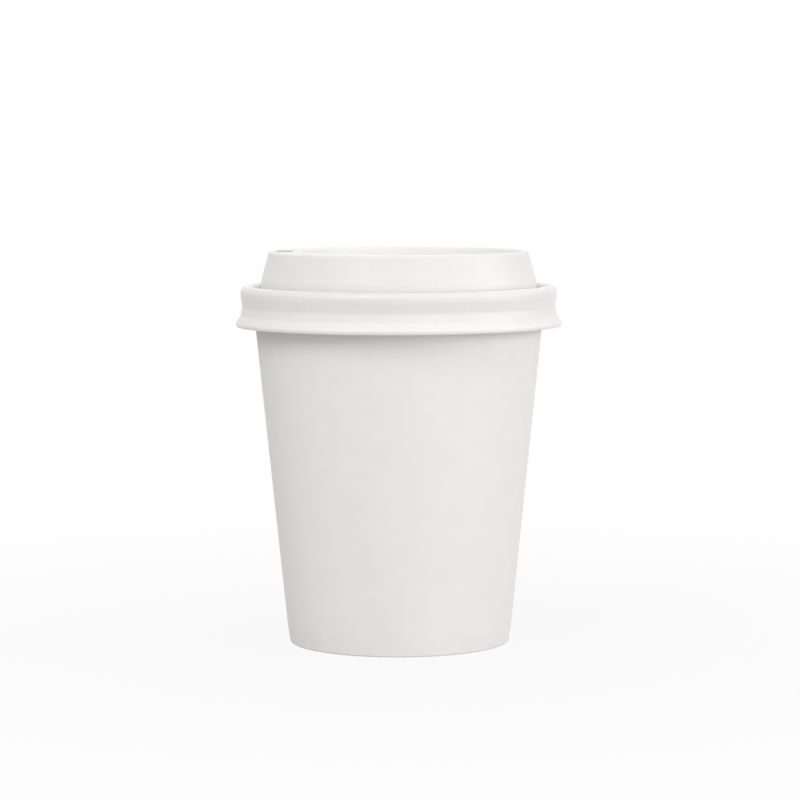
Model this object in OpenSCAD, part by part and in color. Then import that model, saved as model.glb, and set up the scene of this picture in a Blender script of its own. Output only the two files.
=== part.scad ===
// Single-wall paper cup for hot drinks, with a rolled rim, a folded foot and a press-on sip lid.
// Millimetres, +Z up. The origin is the centre of the ring that the cup stands on.
// The sip hole is towards -X, and the lap of the sidewall is at the back, towards +Y.

/* [Sidewall] */
// Outside diameter of the rolled rim
rim_d = 80; // [76:0.5:90]
// Height of the cup without its lid
cup_h = 91.9; // [70:0.1:120]
// Outside diameter of the wall, carried down to the table
foot_d = 57.3; // [50:0.1:62]
// Thickness of the sidewall board
wall_t = 0.35; // [0.28:0.01:0.45]
// Outside diameter of the roll that makes the rim
roll_d = 2.4; // [2.2:0.1:3]
// How far the edge of the rim is rolled round, in degrees
roll_turn = 290; // [220:5:300]
// Width of the lap where the two ends of the blank are sealed
lap_w = 7; // [4:0.5:12]

/* [Foot and base] */
// Thickness of the base board
base_t = 0.3; // [0.24:0.01:0.4]
// Height of the foot, where three layers of board are pressed together
fold_h = 4.6; // [3.5:0.1:7]
// How far the wall is pressed in at the bottom of the foot
crimp_in = 0.2; // [0.05:0.05:0.5]
// Gap between the folded edge of the wall and the underside of the base
base_gap = 1.2; // [0.8:0.1:3]
// Radius of the bend between the base and its skirt
base_bend_r = 0.7; // [0.3:0.1:1.2]
// Width of the flat ring that the cup stands on
foot_flat = 0.2; // [0.1:0.05:0.25]
// Gap between the sealed layers of the foot
seal_gap = 0.03; // [0.02:0.01:0.05]

/* [Lid skirt] */
// Thickness of the lid
lid_t = 0.4; // [0.3:0.05:0.5]
// Gap between the top of the rim and the lid
seat_gap = 0.25; // [0.1:0.05:0.5]
// Gap round the rim inside the bead of the lid
bead_gap = 0.45; // [0.3:0.05:0.8]
// Gap round the rim where the waist of the lid passes it
snap_gap = 0.07; // [0.05:0.01:0.2]
// Width of the flat along the top of the bead
bead_flat = 0.3; // [0.1:0.05:0.6]
// Drop from the underside of the rolled rim to the narrowest part of the waist
waist_drop = 2.3; // [1.7:0.1:2.8]
// Height from the waist to the straight side of the bead
waist_rise = 2.8; // [1.5:0.1:3.2]
// How far the skirt widens between the waist and the lip
skirt_flare = 0.4; // [0.3:0.05:1]
// Height of the skirt, from the top of the bead to the lower edge of the lip
skirt_h = 10.3; // [9.5:0.1:13]
// Height of the lip
lip_h = 2.7; // [2:0.1:3.5]
// How far the lip stands out past the bead
lip_out = 1.4; // [0.8:0.1:2]
// Height of the widest line of the lip above its lower edge
lip_low = 0.6; // [0.6:0.1:1.4]
// How far the lower edge of the lip turns in
lip_in = 0.35; // [0.2:0.05:0.8]

/* [Lid plug] */
// Gap between the plug wall of the lid and the inside of the cup
plug_gap = 0.25; // [0.15:0.05:0.5]
// Depth of the groove between the bead and the dome
groove_depth = 3; // [2:0.1:4]
// Width of the groove at its floor, between the middles of its walls
groove_w = 1.7; // [1.5:0.1:2.4]
// How far the foot of the dome is set in under its side
foot_in = 0.15; // [0:0.05:0.6]

/* [Lid top] */
// Height of the dome above the bead
dome_h = 8.9; // [7:0.05:14]
// Height above the bead at which the side of the dome starts to lean in
dome_rise = 1.1; // [0.5:0.1:3]
// Lean of the side of the dome, in degrees
dome_lean = 15.2; // [8:0.2:20]
// Radius of the shoulder of the dome
shoulder_r = 0.8; // [0.5:0.1:1]
// Width of the narrow crest, on the side away from the mouth
crest_w = 1.4; // [1.3:0.1:3]
// Width of the platform that holds the sip hole
platform_w = 7.8; // [7:0.1:12]
// Depth of the recess in the top
recess_depth = 4.5; // [3:0.1:6]
// Lean of the wall of the recess, in degrees
recess_lean = 10; // [5:1:20]
// Radius between the floor and the wall of the recess
recess_round = 1.5; // [0.6:0.1:2]
// Radius of the edge of the recess
edge_round = 0.6; // [0.4:0.1:0.6]
// Length of the sip hole, along the edge of the lid
sip_l = 12; // [10:0.5:18]
// Width of the sip hole
sip_w = 4.5; // [4.2:0.1:5]
// Diameter of the vent
vent_d = 1.8; // [1:0.1:3]
// Distance from the vent to the wall of the recess, along the floor
vent_in = 5; // [3:0.5:10]

/* [Hidden] */

$fn = 120;
// Longest step along an arc of a profile, in degrees
arc_step = 20;
// How far a cutting shape reaches past the face it cuts
past = 1;
// Radii that soften the skirt of the lid, at the middle of the sheet
lip_round = 0.8;
flare_round = 1.5;
waist_round = 2.5;
groove_round = 0.45;
dome_round = 6;

board_colour = [0.94, 0.94, 0.925];
lid_colour = [0.96, 0.96, 0.955];

// Points along an arc about c
function arc(c, r, from, to) =
    let (n = max(2, ceil(abs(to - from) / arc_step)))
    [for (i = [0:n]) let (a = from + (to - from) * i / n) c + r * [cos(a), sin(a)]];

function unit(v) = v / norm(v);
function left_of(v) = [-v.y, v.x];
function flat(p) = [p.x, p.y];
function backwards(list) = [for (i = [len(list) - 1:-1:0]) list[i]];
function last(list) = list[len(list) - 1];
function between(list) = [for (i = [1:len(list) - 2]) list[i]];

// The points that round the corner at p with radius r, on the way from a to b
function corner(a, p, b, r) =
    let (
        u = unit(p - a),
        v = unit(b - p),
        turn = atan2(u.x * v.y - u.y * v.x, u * v),
        start = p - u * r * tan(abs(turn) / 2),
        c = start + left_of(u) * r * sign(turn),
        from = atan2((start - c).y, (start - c).x)
    )
    r * turn == 0 ? [p] : arc(c, r, from, from + turn);

// A path of [x, y, radius] corners as points, with the corners rounded
function rounded(path) =
    let (n = len(path) - 1)
    concat(
        [flat(path[0])],
        [for (i = [1:n - 1]) each corner(flat(path[i - 1]), flat(path[i]), flat(path[i + 1]), path[i].z)],
        [flat(path[n])]
    );

// The same points moved by d to the left of the way they run
function beside(points, d) =
    let (n = len(points) - 1)
    [for (i = [0:n])
        let (
            ahead = left_of(unit(points[min(i + 1, n)] - points[min(i, n - 1)])),
            behind = left_of(unit(points[max(i, 1)] - points[max(i - 1, 0)])),
            middle = unit(ahead + behind)
        )
        points[i] + middle * d / (middle * ahead)];

// The outline of a sheet of thickness t whose middle follows the points
function sheet(points, t) = concat(beside(points, t / 2), backwards(beside(points, -t / 2)));

// Rolled rim: the middle of the board runs up the wall, over the top and down the outside
roll_r = (roll_d - wall_t) / 2;
roll_c = [rim_d / 2 - roll_d / 2, cup_h - roll_d / 2];

// Lean of the wall, which runs from the foot to the inner side of the roll
foot_to_roll = roll_c - [foot_d / 2, 0];
wall_lean = atan2(foot_to_roll.x, foot_to_roll.y) - asin((roll_r - wall_t / 2) / norm(foot_to_roll));

// The point at height z that lies a given depth inside the outer face of the wall
function in_wall(z, depth) =
    [foot_d / 2 + z * tan(wall_lean) - crimp_in * max(0, 1 - z / fold_h) - depth / cos(wall_lean), z];

// A corner of a path that lies in the wall
function wall_corner(z, depth, r) = concat(in_wall(z, depth), [r]);

// Layers of the foot, from the outside in: wall, skirt of the base, folded edge of the wall
wall_middle = wall_t / 2;
skirt_middle = wall_t + seal_gap + base_t / 2;
fold_middle = wall_t + 2 * seal_gap + base_t + wall_t / 2;
fold_round = (fold_middle - wall_middle - foot_flat) / 2;
wall_points = concat(
    rounded([
        wall_corner(fold_h, fold_middle, 0),
        wall_corner(wall_t / 2, fold_middle, fold_round),
        wall_corner(wall_t / 2, wall_middle, fold_round),
        wall_corner(fold_h, wall_middle, 0)
    ]),
    arc(roll_c, roll_r, 180 - wall_lean, 180 - wall_lean - roll_turn)
);

// Lap of the sidewall, one board thick, from the fold of the foot to the underside of the roll
lap_low = wall_t / 2 + fold_round;
lap_high = cup_h - roll_d - wall_t;
lap_outline = [
    in_wall(lap_low, wall_t / 2),
    in_wall(lap_low, -wall_t),
    in_wall(fold_h, -wall_t),
    in_wall(lap_high, -wall_t),
    in_wall(lap_high, wall_t / 2),
    in_wall(fold_h, wall_t / 2)
];

// Base: a flat panel with its skirt turned down into the foot
panel_z = fold_h + base_gap + base_t / 2;
base_points = rounded([
    [0, panel_z, 0],
    wall_corner(panel_z, skirt_middle, base_bend_r),
    wall_corner(fold_h, skirt_middle, 0),
    wall_corner(wall_t + fold_round, skirt_middle, 0)
]);

// Lid, at the middle of its sheet, from the lip inwards to the axis
bead_r = rim_d / 2 + bead_gap + lid_t / 2;
waist_r = rim_d / 2 + snap_gap + lid_t / 2;
lip_r = bead_r + lip_out;
bead_z = cup_h + seat_gap + lid_t / 2;
waist_z = cup_h - roll_d - waist_drop;
lip_z = bead_z + lid_t / 2 - skirt_h;
plug_depth = wall_t + plug_gap + lid_t / 2;
bead_round = (bead_r - in_wall(bead_z, plug_depth).x - bead_flat) / 2;
groove_z = bead_z - groove_depth;
dome_r = in_wall(groove_z, plug_depth).x - groove_w + foot_in;
bend_z = bead_z + dome_rise;
top_z = bead_z + lid_t / 2 + dome_h;
crown_z = top_z - lid_t / 2;
crown_r = dome_r - (crown_z - bend_z) * tan(dome_lean);
lid_points = rounded([
    [lip_r - lip_in, lip_z, 0],
    [lip_r, lip_z + lip_low, lip_round],
    [waist_r + skirt_flare, lip_z + lip_h, flare_round],
    [waist_r, waist_z, waist_round],
    [bead_r, waist_z + waist_rise, waist_round],
    [bead_r, bead_z, bead_round],
    wall_corner(bead_z, plug_depth, bead_round),
    wall_corner(groove_z, plug_depth, groove_round),
    [dome_r - foot_in, groove_z, groove_round],
    [dome_r, bend_z, dome_round],
    [crown_r, crown_z, shoulder_r],
    [0, crown_z, 0]
]);
lid_outside = beside(lid_points, -lid_t / 2);
lid_inside = beside(lid_points, lid_t / 2);

// Recess of the top, off centre so that it leaves a platform for the sip hole
top_r = crown_r + lid_t / 2 * (1 / cos(dome_lean) - tan(dome_lean));
recess_r = top_r - (crest_w + platform_w) / 2;
recess_x = (platform_w - crest_w) / 2;
floor_z = top_z - recess_depth;
floor_r = recess_r - recess_depth * tan(recess_lean);
recess_points = rounded([[0, floor_z, 0], [floor_r, floor_z, recess_round], [recess_r, top_z, 0]]);
recess_edge = corner([floor_r, floor_z], [recess_r, top_z], [recess_r + recess_depth, top_z], edge_round);
recess_inside = [for (i = [0:len(recess_points) - 2]) recess_points[i]];
recess_top = concat(recess_inside, recess_edge);
recess_under = beside(recess_points, -lid_t);

// Sip hole, a slot with round ends along a circle through the middle of the platform
sip_r = top_r - platform_w / 2;
sip_turn = asin((sip_l - sip_w) / 2 / sip_r);
sip_from = 180 - sip_turn;
sip_to = 180 + sip_turn;
sip_outline = concat(
    arc(sip_r * [cos(sip_to), sin(sip_to)], sip_w / 2, sip_to, sip_to + 180),
    between(arc([0, 0], sip_r - sip_w / 2, sip_to, sip_from)),
    arc(sip_r * [cos(sip_from), sin(sip_from)], sip_w / 2, sip_from + 180, sip_from + 360),
    between(arc([0, 0], sip_r + sip_w / 2, sip_from, sip_to))
);

// A profile that runs outwards from the axis, filled in above as far as the height z
module bowl(profile, z) {
    rotate_extrude()
        polygon(concat(profile, [[last(profile).x, z], [0, z]]));
}

// A profile that runs in to the axis, filled in below as far as the height z
module cap(profile, z) {
    rotate_extrude()
        polygon(concat(profile, [[0, z], [profile[0].x, z]]));
}

module lap() {
    intersection() {
        rotate_extrude()
            polygon(lap_outline);
        translate([-lap_w / 2, 0, 0])
            cube([lap_w, rim_d, cup_h]);
    }
}

module sip_hole() {
    translate([0, 0, top_z - lid_t - past])
        linear_extrude(lid_t + 2 * past)
            polygon(sip_outline);
}

module vent() {
    translate([recess_x - floor_r + vent_in, 0, floor_z - lid_t - past])
        cylinder(d = vent_d, h = lid_t + 2 * past);
}

module cup_sidewall() {
    color(board_colour) {
        rotate_extrude()
            polygon(sheet(wall_points, wall_t));
        lap();
    }
}

module cup_base() {
    color(board_colour)
        rotate_extrude()
            polygon(sheet(base_points, base_t));
}

module lid() {
    color(lid_colour)
        difference() {
            cap(lid_outside, lid_outside[0].y);
            translate([recess_x, 0, 0])
                bowl(recess_top, top_z + past);
            difference() {
                cap(lid_inside, lip_z - past);
                translate([recess_x, 0, 0])
                    bowl(recess_under, top_z + past);
            }
            sip_hole();
            vent();
        }
}

cup_sidewall();
cup_base();
lid();
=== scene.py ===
from math import asin, atan2, cos, hypot, pi, radians, sin, tan

import bmesh
import bpy
from mathutils import Euler, Matrix, Vector


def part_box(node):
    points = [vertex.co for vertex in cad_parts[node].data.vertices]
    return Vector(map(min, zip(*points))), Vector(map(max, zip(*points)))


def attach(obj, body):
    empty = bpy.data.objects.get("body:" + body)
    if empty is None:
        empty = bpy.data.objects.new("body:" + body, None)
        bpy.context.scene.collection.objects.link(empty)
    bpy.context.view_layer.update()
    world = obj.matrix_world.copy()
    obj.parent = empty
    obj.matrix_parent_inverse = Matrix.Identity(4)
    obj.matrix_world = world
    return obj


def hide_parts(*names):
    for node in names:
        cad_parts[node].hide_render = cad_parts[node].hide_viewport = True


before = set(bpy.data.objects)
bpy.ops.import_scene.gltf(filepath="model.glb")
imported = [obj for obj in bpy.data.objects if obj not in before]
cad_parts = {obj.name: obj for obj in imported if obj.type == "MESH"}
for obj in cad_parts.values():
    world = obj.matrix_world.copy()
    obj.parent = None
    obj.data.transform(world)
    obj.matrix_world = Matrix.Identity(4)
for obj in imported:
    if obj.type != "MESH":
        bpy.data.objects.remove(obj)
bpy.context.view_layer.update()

# Sidewall of the cup
# One fan-shaped blank of white paperboard, wound to a cone and sealed along a lap at the back. Its upper edge
# is rolled outwards into the rim, and its lower edge is folded in and up again to hold the base.
mm = 0.001
rim_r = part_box("cup_sidewall")[1].x
cup_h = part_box("cup_sidewall")[1].z
foot_r = 28.65 * mm
wall_t = 0.35 * mm
roll_d = 2.4 * mm
roll_turn = radians(290)
roll_steps = 24
fold_h = 4.6 * mm
crimp_in = 0.2 * mm
crimp_round = 3 * mm
foot_flat = 0.2 * mm
base_t = 0.3 * mm
seal_gap = 0.03 * mm

roll_r = (roll_d - wall_t) / 2
roll_x = rim_r - roll_d / 2
roll_z = cup_h - roll_d / 2
wall_lean = atan2(roll_x - foot_r, roll_z) - asin((roll_r - wall_t / 2) / hypot(roll_x - foot_r, roll_z))


def wall_at(height, depth):
    """The radius at a height, at a depth inside the outer face of the wall."""
    pressed_in = crimp_in * max(0, 1 - height / fold_h)
    return foot_r + height * tan(wall_lean) - pressed_in - depth / cos(wall_lean)


arc_steps = 8
round_steps = 240
merge_gap = 0.001 * mm


def draw_sheet(bm, corners):
    """Draws the middle of a sheet as a wire through corners of (radius, height, rounding)."""
    verts = [bm.verts.new((radius, 0, height)) for radius, height, rounding in corners]
    for start, end in zip(verts, verts[1:]):
        bm.edges.new((start, end))
    for vert, (radius, height, rounding) in zip(verts, corners):
        if rounding:
            back, ahead = [edge.other_vert(vert).co - vert.co for edge in vert.link_edges]
            reach = rounding / tan(back.angle(ahead) / 2)
            bmesh.ops.bevel(bm, geom=[vert], offset=reach, affect="VERTICES", segments=arc_steps,
                            profile=0.5, material=-1)
    return verts[-1]


def turn_round(bm, centre_x=0):
    """Turns the wires once round an upright axis, and closes the seam and the pole."""
    wires = [part for part in bm.verts[:] + bm.edges[:] if part.is_wire]
    bmesh.ops.spin(bm, geom=wires, cent=(centre_x, 0, 0), axis=(0, 0, 1), angle=2 * pi,
                   steps=round_steps, use_merge=True)
    bmesh.ops.remove_doubles(bm, verts=bm.verts[:], dist=merge_gap)


def thicken(bm, thickness):
    """Gives a sheet its thickness, half of it on either side of its middle."""
    bmesh.ops.recalc_face_normals(bm, faces=bm.faces[:])
    bm.normal_update()
    for vert in bm.verts:
        vert.co += vert.normal * vert.calc_shell_factor() * thickness / 2
    bm.normal_update()
    bmesh.ops.solidify(bm, geom=bm.faces[:], thickness=thickness)
    bm.normal_update()


sharp_bend = radians(40)


def make_piece(bm, name, material):
    """Turns a finished bmesh into an object that shades its flats flat and its roundings round."""
    mesh = bpy.data.meshes.new(name)
    bm.to_mesh(mesh)
    bm.free()
    mesh.shade_smooth()
    mesh.set_sharp_from_angle(angle=sharp_bend)
    mesh.materials.append(material)
    piece = bpy.data.objects.new(name, mesh)
    bpy.context.scene.collection.objects.link(piece)
    piece.modifiers.new("even_shading", "WEIGHTED_NORMAL").keep_sharp = True
    return piece


# The board, from the raw edge inside the foot, round the fold, up the wall and round the roll
knurl_low = 1.0 * mm
knurl_high = 4.2 * mm
wall_middle = wall_t / 2
skirt_middle = wall_t + seal_gap + base_t / 2
fold_middle = wall_t + 2 * seal_gap + base_t + wall_t / 2
fold_round = (fold_middle - wall_middle - foot_flat) / 2
wall = bmesh.new()
wall_top = draw_sheet(wall, [
    (wall_at(fold_h, fold_middle), fold_h, 0),
    (wall_at(knurl_high, fold_middle), knurl_high, 0),
    (wall_at(knurl_low, fold_middle), knurl_low, 0),
    (wall_at(wall_t / 2, fold_middle), wall_t / 2, fold_round),
    (wall_at(wall_t / 2, wall_middle), wall_t / 2, fold_round),
    (wall_at(fold_h, wall_middle), fold_h, crimp_round),
    (roll_x - roll_r * cos(wall_lean), roll_z + roll_r * sin(wall_lean), 0),
])
bmesh.ops.spin(wall, geom=[wall_top], cent=(roll_x, 0, roll_z), axis=(0, 1, 0), angle=roll_turn,
               steps=roll_steps)
turn_round(wall)
thicken(wall, wall_t)

# The lap: the outer end of the blank stops at a cut edge and rises softly over the inner end, whose own cut
# edge shows inside the cup
lap_w = 7 * mm
lap_edge = 0.03 * mm
lap_ramp = 3 * mm
lap_fade = 0.6 * mm
lap_start = -lap_w / 2
lap_end = lap_w / 2
lap_low = wall_t / 2 + fold_round + lap_fade
lap_high = cup_h - roll_d - wall_t
cut_reach = 2 * lap_w
lap_lines = (lap_start - lap_edge, lap_start, lap_end, lap_end + lap_edge, lap_end + lap_ramp)
lap_cuts = [((x, 0, 0), (1, 0, 0)) for x in lap_lines]
lap_cuts += [((0, 0, z), (0, 0, 1)) for z in (lap_low, lap_high, lap_high + lap_fade)]
for point, across in lap_cuts:
    middles = [(face, face.calc_center_median()) for face in wall.faces]
    faces = [face for face, middle in middles if middle.y > 0 and abs(middle.x) < cut_reach]
    around = dict.fromkeys(part for face in faces for part in (*face.verts, *face.edges))
    bmesh.ops.bisect_plane(wall, geom=faces + list(around), plane_co=point, plane_no=across, dist=merge_gap)
for vert in wall.verts:
    outwards = vert.co.xy.to_3d()
    past_end = vert.co.x - lap_end
    rise = wall_t * (1 - max(0, past_end) / lap_ramp)
    on_lap = vert.co.y > 0 and vert.co.x > lap_start - merge_gap and rise > 0
    outside = outwards.length > wall_at(vert.co.z, wall_middle)
    inside = not outside and outwards.length > wall_at(vert.co.z, skirt_middle) and past_end > merge_gap
    if on_lap and (outside or inside) and lap_low - merge_gap < vert.co.z < lap_high + merge_gap:
        vert.co += outwards.normalized() * rise

# The knurling that pressed the layers of the foot together from inside
knurl_depth = 0.1 * mm
for vert in wall.verts:
    column = round(atan2(vert.co.y, vert.co.x) / (2 * pi / round_steps))
    outwards = vert.co.xy.to_3d()
    in_foot = outwards.length < wall_at(vert.co.z, fold_middle)
    if in_foot and vert.co.z > knurl_low - merge_gap and column % 2:
        vert.co += outwards.normalized() * knurl_depth


def linear(hex_colour):
    """An sRGB hex colour as linear red, green, blue and alpha."""
    parts = [int(hex_colour[i:i + 2], 16) / 255 for i in (0, 2, 4)]
    return [p / 12.92 if p <= 0.04045 else ((p + 0.055) / 1.055) ** 2.4 for p in parts] + [1]


def add_node(tree, kind, inputs, **settings):
    """Adds a node with its settings; an input is a value, or the output of another node."""
    node = tree.nodes.new(kind)
    for name, value in settings.items():
        setattr(node, name, value)
    for name, value in inputs.items():
        if isinstance(value, bpy.types.NodeSocket):
            tree.links.new(value, node.inputs[name])
        else:
            node.inputs[name].default_value = value
    return node


def coated_board(name):
    """Bleached paperboard with a thin polyethylene film: a soft sheen over a clouded, fibrous ground."""
    cloud_size = 5 * mm
    # Real fibres are finer, and are drawn just coarse enough to show
    fibre_size = 0.5 * mm
    fibre_height = 0.012 * mm
    material = bpy.data.materials.new(name)
    material.use_nodes = True
    tree = material.node_tree
    place = add_node(tree, "ShaderNodeTexCoord", {}).outputs["Object"]
    cloud = add_node(tree, "ShaderNodeTexNoise", {"Vector": place, "Scale": 1 / cloud_size, "Detail": 3})
    colour = add_node(tree, "ShaderNodeValToRGB", {"Fac": cloud.outputs["Fac"]})
    colour.color_ramp.elements[0].color = linear("eceae8")
    colour.color_ramp.elements[1].color = linear("f0efed")
    fibre = add_node(tree, "ShaderNodeTexNoise", {"Vector": place, "Scale": 1 / fibre_size, "Detail": 4})
    bump = add_node(tree, "ShaderNodeBump", {
        "Height": fibre.outputs["Fac"], "Distance": fibre_height, "Strength": 1})
    shader = tree.nodes["Principled BSDF"]
    shader.inputs["Roughness"].default_value = 0.65
    shader.inputs["IOR"].default_value = 1.5
    tree.links.new(colour.outputs["Color"], shader.inputs["Base Color"])
    tree.links.new(bump.outputs["Normal"], shader.inputs["Normal"])
    return material


sidewall = make_piece(wall, "sidewall", coated_board("polyethylene_coated_board"))
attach(sidewall, "cup")
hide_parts("cup_sidewall")

# Base of the cup
# A disc of thinner board, pressed to a shallow tray: its skirt is turned down and sealed in the fold of the
# foot, so that the drink stands on a panel a little above the table.
base_gap = 1.2 * mm
base_bend_r = 0.7 * mm
panel_z = fold_h + base_gap + base_t / 2
base_disc = bmesh.new()
draw_sheet(base_disc, [
    (0, panel_z, 0),
    (wall_at(panel_z, skirt_middle), panel_z, base_bend_r),
    (wall_at(fold_h, skirt_middle), fold_h, 0),
    (wall_at(wall_t + fold_round, skirt_middle), wall_t + fold_round, 0),
])
turn_round(base_disc)
thicken(base_disc, base_t)
base = make_piece(base_disc, "base", coated_board("polyethylene_coated_base_board"))
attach(base, "cup")
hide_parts("cup_base")

# Lid
# One sheet of white polystyrene, vacuum formed over a mould and punched: a flared lip, a waist that grips
# under the rim, a bead over it, a plug and groove inside it, and a dome with a recess, a sip hole and a vent.
lid_t = 0.4 * mm
seat_gap = 0.25 * mm
bead_gap = 0.45 * mm
snap_gap = 0.07 * mm
bead_flat = 0.3 * mm
waist_drop = 2.3 * mm
waist_rise = 2.8 * mm
skirt_flare = 0.4 * mm
skirt_h = 10.3 * mm
lip_h = 2.7 * mm
lip_out = 1.4 * mm
lip_low = 0.6 * mm
lip_in = 0.35 * mm
plug_gap = 0.25 * mm
groove_depth = 3 * mm
groove_w = 1.7 * mm
foot_in = 0.15 * mm
dome_rise = 1.1 * mm
dome_lean = radians(15.2)
lip_round = 0.8 * mm
flare_round = 1.5 * mm
waist_round = 2.5 * mm
groove_round = 0.45 * mm
dome_round = 6 * mm

bead_r = rim_r + bead_gap + lid_t / 2
waist_r = rim_r + snap_gap + lid_t / 2
lip_r = bead_r + lip_out
bead_z = cup_h + seat_gap + lid_t / 2
waist_z = cup_h - roll_d - waist_drop
lip_z = bead_z + lid_t / 2 - skirt_h
plug_depth = wall_t + plug_gap + lid_t / 2
bead_round = (bead_r - wall_at(bead_z, plug_depth) - bead_flat) / 2
groove_z = bead_z - groove_depth
dome_r = wall_at(groove_z, plug_depth) - groove_w + foot_in
bend_z = bead_z + dome_rise
crown_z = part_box("lid")[1].z - lid_t / 2
crown_r = dome_r - (crown_z - bend_z) * tan(dome_lean)
shoulder_r = 0.8 * mm
shoulder_reach = shoulder_r * tan((pi / 2 - dome_lean) / 2)
flat_start = 0.03 * mm
dome = bmesh.new()
draw_sheet(dome, [
    (lip_r - lip_in, lip_z, 0),
    (lip_r, lip_z + lip_low, lip_round),
    (waist_r + skirt_flare, lip_z + lip_h, flare_round),
    (waist_r, waist_z, waist_round),
    (bead_r, waist_z + waist_rise, waist_round),
    (bead_r, bead_z, bead_round),
    (wall_at(bead_z, plug_depth), bead_z, bead_round),
    (wall_at(groove_z, plug_depth), groove_z, groove_round),
    (dome_r - foot_in, groove_z, groove_round),
    (dome_r, bend_z, dome_round),
    (crown_r, crown_z, shoulder_r),
    (crown_r - shoulder_reach - flat_start, crown_z, 0),
])
turn_round(dome)

# The recess, off centre so that it leaves a platform for the sip hole
crest_w = 1.4 * mm
platform_w = 7.8 * mm
recess_depth = 4.5 * mm
recess_lean = radians(10)
top_r = crown_r + lid_t / 2 * (1 / cos(dome_lean) - tan(dome_lean))
recess_r = top_r - (crest_w + platform_w) / 2
recess_x = (platform_w - crest_w) / 2
recess_z = crown_z - recess_depth


def recess_at(height):
    """The radius of the middle of the recess's wall at a height."""
    return recess_r - (crown_z + lid_t / 2 - height) * tan(recess_lean) + lid_t / 2 / cos(recess_lean)


edge_round = 0.4 * mm
edge_reach = edge_round * tan((pi / 2 - recess_lean) / 2)
floor_round = 1.7 * mm
draw_sheet(dome, [
    (recess_x + recess_at(crown_z) + edge_reach + flat_start, crown_z, 0),
    (recess_x + recess_at(crown_z), crown_z, edge_round),
    (recess_x + recess_at(recess_z), recess_z, floor_round),
    (recess_x + recess_at(recess_z) - 2 * floor_round, recess_z, 0),
])
turn_round(dome, recess_x)

# The sip hole, a slot with round ends along the platform, drawn by carrying one point round it
sip_l = 12 * mm
sip_w = 4.5 * mm
sip_steps = 16
sip_r = top_r - platform_w / 2
sip_turn = asin((sip_l - sip_w) / 2 / sip_r)
ends = [Vector((-sip_r * cos(turn), sip_r * sin(turn), crown_z)) for turn in (sip_turn, -sip_turn)]
point = dome.verts.new(ends[0] * (1 + sip_w / 2 / sip_r))
point.co.z = crown_z
axis = Vector((0, 0, crown_z))
for centre, turn in ((axis, 2 * sip_turn), (ends[1], pi), (axis, -2 * sip_turn), (ends[0], pi)):
    drawn = bmesh.ops.spin(dome, geom=[point], cent=centre, axis=(0, 0, 1), angle=turn, steps=sip_steps)
    point = next(part for part in drawn["geom_last"] if isinstance(part, bmesh.types.BMVert))
bmesh.ops.remove_doubles(dome, verts=dome.verts[:], dist=merge_gap)

# The vent, punched through the floor of the recess
vent_d = 1.8 * mm
vent_in = 5 * mm
vent_steps = 32
vent_x = recess_x - recess_r + recess_depth * tan(recess_lean) + vent_in
bmesh.ops.create_circle(dome, segments=vent_steps, radius=vent_d / 2,
                        matrix=Matrix.Translation((vent_x, 0, recess_z)))

# The two flats, each filled in round its hole
for height in (crown_z, recess_z):
    rims = [edge for edge in dome.edges if not edge.is_manifold
            and all(abs(vert.co.z - height) < merge_gap for vert in edge.verts)]
    bmesh.ops.triangle_fill(dome, edges=rims, use_beauty=True)
thicken(dome, lid_t)


def formed_polystyrene(name):
    """High-impact polystyrene, vacuum formed: a dull satin, faintly rippled, that lets a little light in."""
    ripple_size = 4 * mm
    ripple_height = 0.01 * mm
    grain_size = 1.2 * mm
    light_depth = 0.5 * mm
    material = bpy.data.materials.new(name)
    material.use_nodes = True
    tree = material.node_tree
    place = add_node(tree, "ShaderNodeTexCoord", {}).outputs["Object"]
    ripple = add_node(tree, "ShaderNodeTexNoise", {"Vector": place, "Scale": 1 / ripple_size, "Detail": 1})
    bump = add_node(tree, "ShaderNodeBump", {
        "Height": ripple.outputs["Fac"], "Distance": ripple_height, "Strength": 1})
    grain = add_node(tree, "ShaderNodeTexNoise", {"Vector": place, "Scale": 1 / grain_size, "Detail": 2})
    colour = add_node(tree, "ShaderNodeValToRGB", {"Fac": grain.outputs["Fac"]})
    colour.color_ramp.elements[0].color = linear("ebe9e8")
    colour.color_ramp.elements[1].color = linear("eeeceb")
    gloss = add_node(tree, "ShaderNodeMapRange", {
        "Value": grain.outputs["Fac"], "To Min": 0.34, "To Max": 0.42})
    shader = tree.nodes["Principled BSDF"]
    shader.inputs["IOR"].default_value = 1.59
    shader.inputs["Specular IOR Level"].default_value = 0.25
    shader.inputs["Subsurface Weight"].default_value = 1
    shader.inputs["Subsurface Radius"].default_value = (1, 1, 1)
    shader.inputs["Subsurface Scale"].default_value = light_depth
    tree.links.new(colour.outputs["Color"], shader.inputs["Base Color"])
    tree.links.new(gloss.outputs["Result"], shader.inputs["Roughness"])
    tree.links.new(bump.outputs["Normal"], shader.inputs["Normal"])
    return material


lid = make_piece(dome, "sip_lid", formed_polystyrene("vacuum_formed_polystyrene"))
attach(lid, "lid")
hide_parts("lid")

# Floor and background
# A pale grey studio table that runs out into a white room, so that no edge shows behind the cup. The camera
# and reflections see it white, and close to the cup it keeps a soft shadow.
table_r = 4
table_sides = 64
shadow_near = 0.04
shadow_far = 0.3
shadow_share = 0.1
floor_mesh = bmesh.new()
bmesh.ops.create_circle(floor_mesh, cap_ends=True, segments=table_sides, radius=table_r)
floor_paint = bpy.data.materials.new("pale_studio_table")
floor_paint.use_nodes = True
tree = floor_paint.node_tree
shader = tree.nodes["Principled BSDF"]
shader.inputs["Base Color"].default_value = linear("b8b8b8")
shader.inputs["Roughness"].default_value = 0.9


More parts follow.
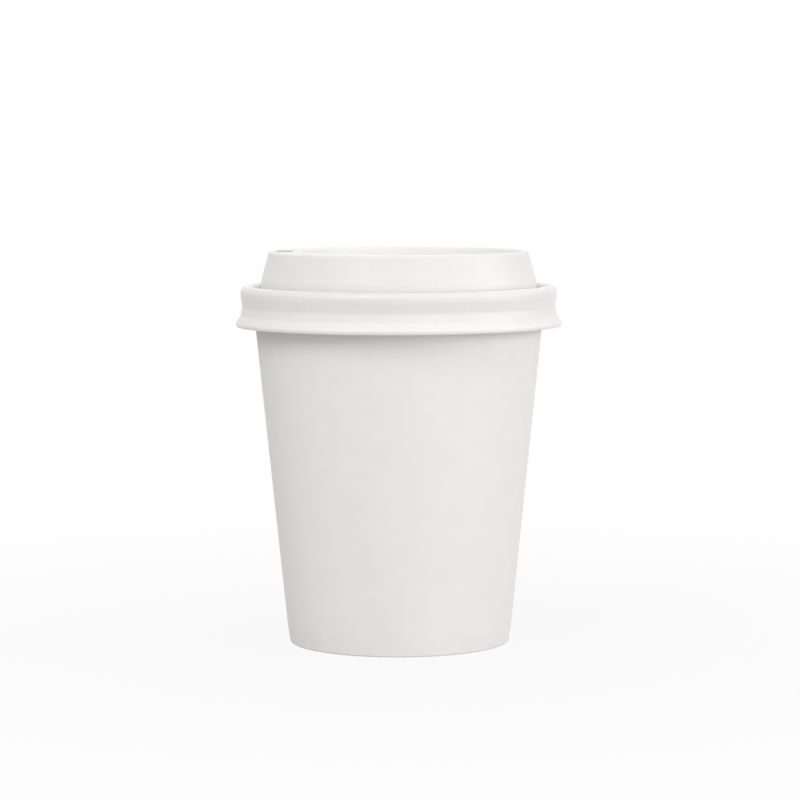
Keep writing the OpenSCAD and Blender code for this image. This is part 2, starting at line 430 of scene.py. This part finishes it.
def when_seen(tree):
    """One where the camera, a reflection or a view through something sees the surface, or else nought."""
    ray = add_node(tree, "ShaderNodeLightPath", {}).outputs
    either = add_node(tree, "ShaderNodeMath", {
        0: ray["Is Camera Ray"], 1: ray["Is Glossy Ray"]}, operation="MAXIMUM").outputs[0]
    return add_node(tree, "ShaderNodeMath", {
        0: either, 1: ray["Is Transmission Ray"]}, operation="MAXIMUM").outputs[0]


white = add_node(tree, "ShaderNodeEmission", {"Strength": 1})
place = add_node(tree, "ShaderNodeTexCoord", {}).outputs["Object"]
distance = add_node(tree, "ShaderNodeVectorMath", {0: place}, operation="LENGTH")
fade = add_node(tree, "ShaderNodeMapRange", {
    "Value": distance.outputs["Value"], "From Min": shadow_near, "From Max": shadow_far,
    "To Min": 1 - shadow_share, "To Max": 1})
whiteness = add_node(tree, "ShaderNodeMath", {
    0: when_seen(tree), 1: fade.outputs["Result"]}, operation="MULTIPLY")
mixed = add_node(tree, "ShaderNodeMixShader", {
    0: whiteness.outputs[0], 1: shader.outputs["BSDF"], 2: white.outputs["Emission"]})
tree.links.new(mixed.outputs[0], tree.nodes["Material Output"].inputs["Surface"])
mesh = bpy.data.meshes.new("floor")
floor_mesh.to_mesh(mesh)
floor_mesh.free()
mesh.materials.append(floor_paint)
floor = bpy.data.objects.new("floor", mesh)
bpy.context.scene.collection.objects.link(floor)

# Light
# A high soft box at the left and a low one at the right, weaker ones in front and high up behind the cup, and
# an even room that lights it from all round.
room_strength = 0.51
world = bpy.data.worlds.new("studio")
bpy.context.scene.world = world
world.use_nodes = True
tree = world.node_tree
room = tree.nodes["Background"]
room.inputs["Color"].default_value = linear("ffffff")
room.inputs["Strength"].default_value = room_strength
white = add_node(tree, "ShaderNodeBackground", {"Color": linear("ffffff"), "Strength": 1})
mixed = add_node(tree, "ShaderNodeMixShader", {
    0: when_seen(tree), 1: room.outputs["Background"], 2: white.outputs["Background"]})
tree.links.new(mixed.outputs[0], tree.nodes["World Output"].inputs["Surface"])

box_side = 0.7
box_distance = 1.3
cup_middle = Vector((0, 0, cup_h / 2))


def soft_box(name, azimuth, elevation, watts):
    """A square area lamp that faces the cup, at an azimuth counted from the front to the right."""
    lamp = bpy.data.lights.new(name, "AREA")
    lamp.shape = "SQUARE"
    lamp.size = box_side
    lamp.energy = watts
    from_cup = Vector((0, -1, 0))
    from_cup.rotate(Euler((-radians(elevation), 0, radians(azimuth))))
    box = bpy.data.objects.new(name, lamp)
    box.location = cup_middle + box_distance * from_cup
    box.rotation_euler = (-from_cup).to_track_quat("-Z", "Y").to_euler()
    bpy.context.scene.collection.objects.link(box)


soft_box("left_soft_box", azimuth=-35, elevation=40, watts=6.4)
soft_box("front_soft_box", azimuth=20, elevation=12, watts=3.4)
soft_box("right_soft_box", azimuth=80, elevation=12, watts=5.8)
soft_box("back_soft_box", azimuth=180, elevation=40, watts=2.4)

# Camera
# Almost level with the lid, at the distance that gives the photographed curves of rim and foot, and rolled by
# the hair that the photograph leans.
camera_side = 0.45 * mm
camera_back = 800 * mm
camera_high = 129.1 * mm
camera_down = radians(4.74)
camera_roll = radians(0.144)
camera_data = bpy.data.cameras.new("camera")
camera_data.lens = 139.2
camera_data.sensor_width = 36
camera = bpy.data.objects.new("camera", camera_data)
camera.location = (camera_side, -camera_back, camera_high)
camera.rotation_euler = (pi / 2 - camera_down, camera_roll, 0)
bpy.context.scene.collection.objects.link(camera)
bpy.context.scene.camera = camera
bpy.context.scene.view_settings.view_transform = "Standard"

bpy.context.view_layer.update()
